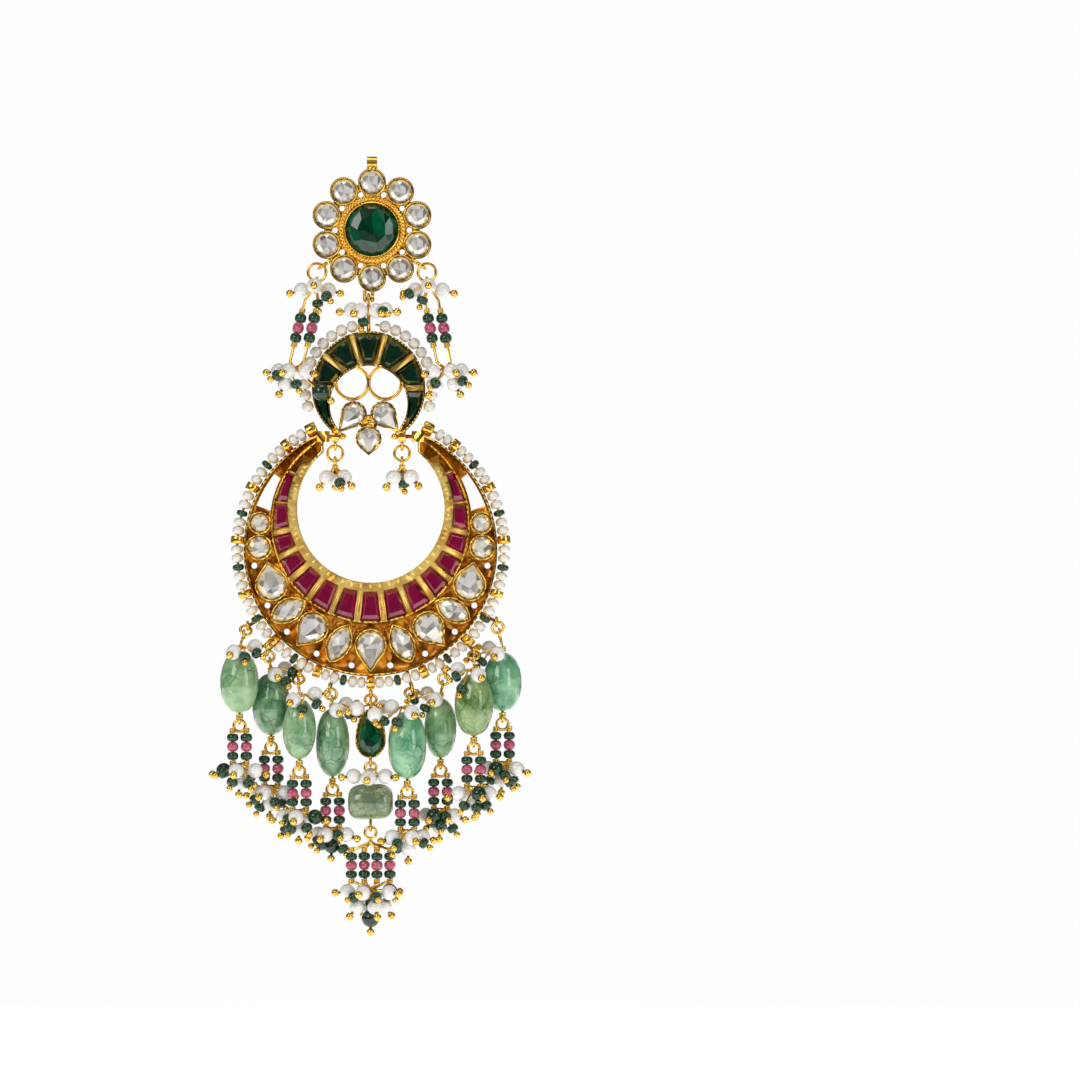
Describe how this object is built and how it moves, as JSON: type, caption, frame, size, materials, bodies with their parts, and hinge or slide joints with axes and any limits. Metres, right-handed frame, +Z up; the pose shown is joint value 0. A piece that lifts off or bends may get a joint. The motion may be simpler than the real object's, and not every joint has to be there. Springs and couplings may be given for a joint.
{
  "type": "chandbali earring",
  "caption": "Hanging chandbali earring: flower stud, small and large stone-set crescents, tumbled green beads and pearl bunches.",
  "frame": {"origin": "on the back of the stud, at its middle, where the ear post leaves it and the lobe holds the earring", "axes": "+Z up, the earring hangs along -Z, its front faces -Y, +X to the right as seen from the front"},
  "size_m": [0.0483, 0.0196, 0.1168],
  "materials": {
    "gold": "polished yellow gold",
    "polki": "foiled uncut white stone",
    "green_glass": "dark green cut stone",
    "ruby": "magenta red cut stone",
    "pearl": "lustrous",
    "green_stone": "polished, cracked, translucent",
    "seed_beads": "faceted seed beads, green and rose"
  },
  "bodies": {
    "stud": {"stud_frame": "gold", "ear_post": "gold", "stud_emerald": "green_glass", "stud_polki": "polki", "side_rings": "gold", "side_pins": "gold", "side_pearls": "pearl", "side_strands": "seed_beads", "side_bead": "green_glass"},
    "small_crescent": {"small_crescent_frame": "gold", "small_crescent_emeralds": "green_glass", "trefoil_polki": "polki", "small_edge_string": "pearl", "small_bunch_pins": "gold", "small_bunch_pearls": "pearl", "tip_rings": "gold", "tip_pearls": "pearl"},
    "large_crescent": {"big_crescent_frame": "gold", "big_crescent_rubies": "ruby", "big_crescent_polki": "polki", "big_edge_string": "pearl", "drop_rings": "gold", "drop_pins_left": "gold", "drop_pins_right": "gold", "drop_pearls_left": "pearl", "drop_pearls_right": "pearl", "tumbled_bead_1": "green_stone", "tumbled_bead_2": "green_stone", "tumbled_bead_3": "green_stone", "tumbled_bead_4": "green_stone", "tumbled_bead_5": "green_stone", "tumbled_bead_6": "green_stone", "tumbled_bead_7": "green_stone", "tumbled_bead_8": "green_stone", "seed_strands_left": "seed_beads", "seed_strands_right": "seed_beads", "foot_pins_left": "gold", "foot_pins_right": "gold", "foot_pearls_left": "pearl", "foot_pearls_right": "pearl", "emerald_drop_frame": "gold", "emerald_drop": "green_glass", "barrel_pin": "gold", "barrel_bead": "green_stone", "barrel_pearls": "pearl", "tail_strands": "seed_beads", "tail_pins": "gold", "tail_pearls": "pearl", "tail_bead": "green_glass"}
  },
  "joints": [
    {"name": "small_crescent_swing", "type": "hinge", "parent": "stud", "child": "small_crescent", "pos_m": [-0.0005, -0.0012, -0.01029], "axis": [1, 0, 0], "range_deg": [-2, 30]},
    {"name": "large_crescent_swing", "type": "hinge", "parent": "small_crescent", "child": "large_crescent", "pos_m": [-0.0005, -0.0012, -0.03099], "axis": [1, 0, 0], "range_deg": [-20, 20]}
  ]
}
